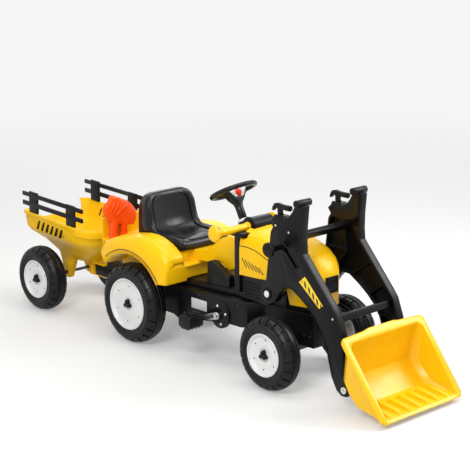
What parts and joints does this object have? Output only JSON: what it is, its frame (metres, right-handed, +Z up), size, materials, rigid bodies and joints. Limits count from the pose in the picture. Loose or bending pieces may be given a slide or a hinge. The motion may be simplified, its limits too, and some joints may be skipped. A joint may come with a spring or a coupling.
{
  "type": "pedal tractor with front loader and trailer",
  "caption": "ride-on toy tractor driven by pedals, with a lifting front loader and tipping bucket, steered front wheels and a drawn tub trailer with side rails",
  "frame": {"origin": "middle of the bounding box's floor face; the wheels stand on z = 0", "axes": "+X towards the bucket, +Y to the driver's left, +Z up"},
  "size_m": [1.7932, 0.4175, 0.608],
  "materials": {
    "yellow": "glossy moulded yellow plastic",
    "black": "satin moulded black plastic",
    "tyre": "blown black plastic, lightly ribbed",
    "white": "off-white moulded plastic",
    "orange": "glossy red-orange moulded plastic",
    "red": "glossy red plastic",
    "steel": "zinc-plated steel",
    "dark": "black painted steel"
  },
  "bodies": {
    "tractor": {"chassis_shell": "black", "chassis_deck": "black", "seat_body": "yellow", "seat": "black", "hood": "yellow", "grille": "black", "dash_panel": "black", "hand_bar": "yellow", "hand_bar_drum": "black", "column_socket": "black", "column_collar": "white", "front_axle_beam": "dark", "hitch_bracket": "black", "pivot_pin_right": "white", "pivot_pin_left": "white"},
    "steering": {"steering_wheel": "black", "wheel_plate": "white"},
    "horn": {"horn_button": "red"},
    "steer_right": {"knuckle_right": "dark"},
    "steer_left": {"knuckle_left": "dark"},
    "track_rod": {"tie_rod": "dark"},
    "front_wheel_right": {"front_tyre_right": "tyre", "front_disc_right": "white", "front_cap_right": "black"},
    "front_wheel_left": {"front_tyre_left": "tyre", "front_disc_left": "white", "front_cap_left": "black"},
    "rear_wheels": {"rear_axle": "steel", "rear_tyre_right": "tyre", "rear_disc_right": "white", "rear_cap_right": "black", "rear_tyre_left": "tyre", "rear_disc_left": "white", "rear_cap_left": "black"},
    "crank_set": {"crank": "steel"},
    "foot_right": {"pedal_right": "black"},
    "foot_left": {"pedal_left": "black"},
    "loader": {"arm_right": "black", "arm_left": "black", "crossbar_upper": "black", "crossbar_lower": "black"},
    "lever_r": {"lever_right": "black"},
    "lever_l": {"lever_left": "black"},
    "peg": {"peg_handle": "black"},
    "scoop": {"bucket": "yellow"},
    "trailer": {"trailer_tub": "yellow", "rail_right": "black", "rail_left": "black", "trailer_axle": "dark", "hitch_pin": "steel"},
    "cart_wheel_right": {"cart_tyre_right": "tyre", "cart_disc_right": "white", "cart_cap_right": "black"},
    "cart_wheel_left": {"cart_tyre_left": "tyre", "cart_disc_left": "white", "cart_cap_left": "black"},
    "tool_shovel": {"shovel": "orange"},
    "tool_rake": {"rake": "orange"}
  },
  "joints": [
    {"name": "steering_turn", "type": "hinge", "parent": "tractor", "child": "steering", "pos_m": [0.07647, 0, 0.54598], "axis": [-0.4695, 0, 0.8829], "range_deg": [-33, 33]},
    {"name": "horn_press", "type": "slide", "parent": "steering", "child": "horn", "axis": [-0.8829, 0, -0.4695], "range_m": [0, 0.003], "stiffness_N_per_m": 400},
    {"name": "steer_right_turn", "type": "hinge", "parent": "tractor", "child": "steer_right", "pos_m": [0.4195, -0.118, 0.117], "axis": [0, 0, 1], "range_deg": [-24, 24]},
    {"name": "steer_left_turn", "type": "hinge", "parent": "tractor", "child": "steer_left", "pos_m": [0.4195, 0.118, 0.117], "axis": [0, 0, 1], "range_deg": [-24, 24]},
    {"name": "track_rod_slide", "type": "slide", "parent": "tractor", "child": "track_rod", "axis": [0, 1, 0], "range_m": [-0.0208, 0.0208]},
    {"name": "front_right_spin", "type": "hinge", "parent": "steer_right", "child": "front_wheel_right", "pos_m": [0.4195, -0.205, 0.117], "axis": [0, 1, 0], "continuous": true},
    {"name": "front_left_spin", "type": "hinge", "parent": "steer_left", "child": "front_wheel_left", "pos_m": [0.4195, 0.205, 0.117], "axis": [0, 1, 0], "continuous": true},
    {"name": "rear_axle_spin", "type": "hinge", "parent": "tractor", "child": "rear_wheels", "pos_m": [-0.234, 0, 0.137], "axis": [0, 1, 0], "continuous": true},
    {"name": "crank_spin", "type": "hinge", "parent": "tractor", "child": "crank_set", "pos_m": [0.144, 0, 0.168], "axis": [0, 1, 0], "continuous": true},
    {"name": "pedal_right_spin", "type": "hinge", "parent": "crank_set", "child": "foot_right", "pos_m": [0.05555, -0.1715, 0.13926], "axis": [0, 1, 0], "continuous": true},
    {"name": "pedal_left_spin", "type": "hinge", "parent": "crank_set", "child": "foot_left", "pos_m": [0.23245, 0.1715, 0.19674], "axis": [0, 1, 0], "continuous": true},
    {"name": "loader_lift", "type": "hinge", "parent": "tractor", "child": "loader", "pos_m": [0.3746, 0, 0.2906], "axis": [0, -1, 0], "range_deg": [0, 36]},
    {"name": "lever_right_tip", "type": "hinge", "parent": "loader", "child": "lever_r", "pos_m": [0.419, -0.127, 0.534], "axis": [0, 1, 0], "range_deg": [-6, 6], "stiffness_Nm_per_rad": 1},
    {"name": "lever_left_tip", "type": "hinge", "parent": "loader", "child": "lever_l", "pos_m": [0.419, 0.127, 0.534], "axis": [0, 1, 0], "range_deg": [-6, 6], "stiffness_Nm_per_rad": 1},
    {"name": "bucket_tilt", "type": "hinge", "parent": "loader", "child": "scoop", "pos_m": [0.702, 0, 0.064], "axis": [0, 1, 0], "range_deg": [0, 42]},
    {"name": "peg_slide", "type": "slide", "parent": "loader", "child": "peg", "axis": [0.6866, 0, -0.727], "range_m": [0, 0.07]},
    {"name": "trailer_yaw", "type": "hinge", "parent": "tractor", "child": "trailer", "pos_m": [-0.6, 0, 0.145], "axis": [0, 0, 1], "range_deg": [-28, 28]},
    {"name": "cart_right_spin", "type": "hinge", "parent": "trailer", "child": "cart_wheel_right", "pos_m": [-0.753, -0.205, 0.117], "axis": [0, 1, 0], "continuous": true},
    {"name": "cart_left_spin", "type": "hinge", "parent": "trailer", "child": "cart_wheel_left", "pos_m": [-0.753, 0.205, 0.117], "axis": [0, 1, 0], "continuous": true},
    {"name": "shovel_lift", "type": "slide", "parent": "tractor", "child": "tool_shovel", "axis": [0, 0, 1], "range_m": [0, 0.08]},
    {"name": "rake_lift", "type": "slide", "parent": "tractor", "child": "tool_rake", "axis": [0, 0, 1], "range_m": [0, 0.08]}
  ],
  "couplings": [
    {"joint": "steer_right_turn", "follows": "steering_turn", "ratio": 0.7},
    {"joint": "steer_left_turn", "follows": "steering_turn", "ratio": 0.7},
    {"joint": "track_rod_slide", "follows": "steering_turn", "m_per_rad": -0.0345},
    {"joint": "crank_spin", "follows": "rear_axle_spin", "ratio": 0.7059},
    {"joint": "peg_slide", "follows": "bucket_tilt", "m_per_rad": 0.095483}
  ]
}
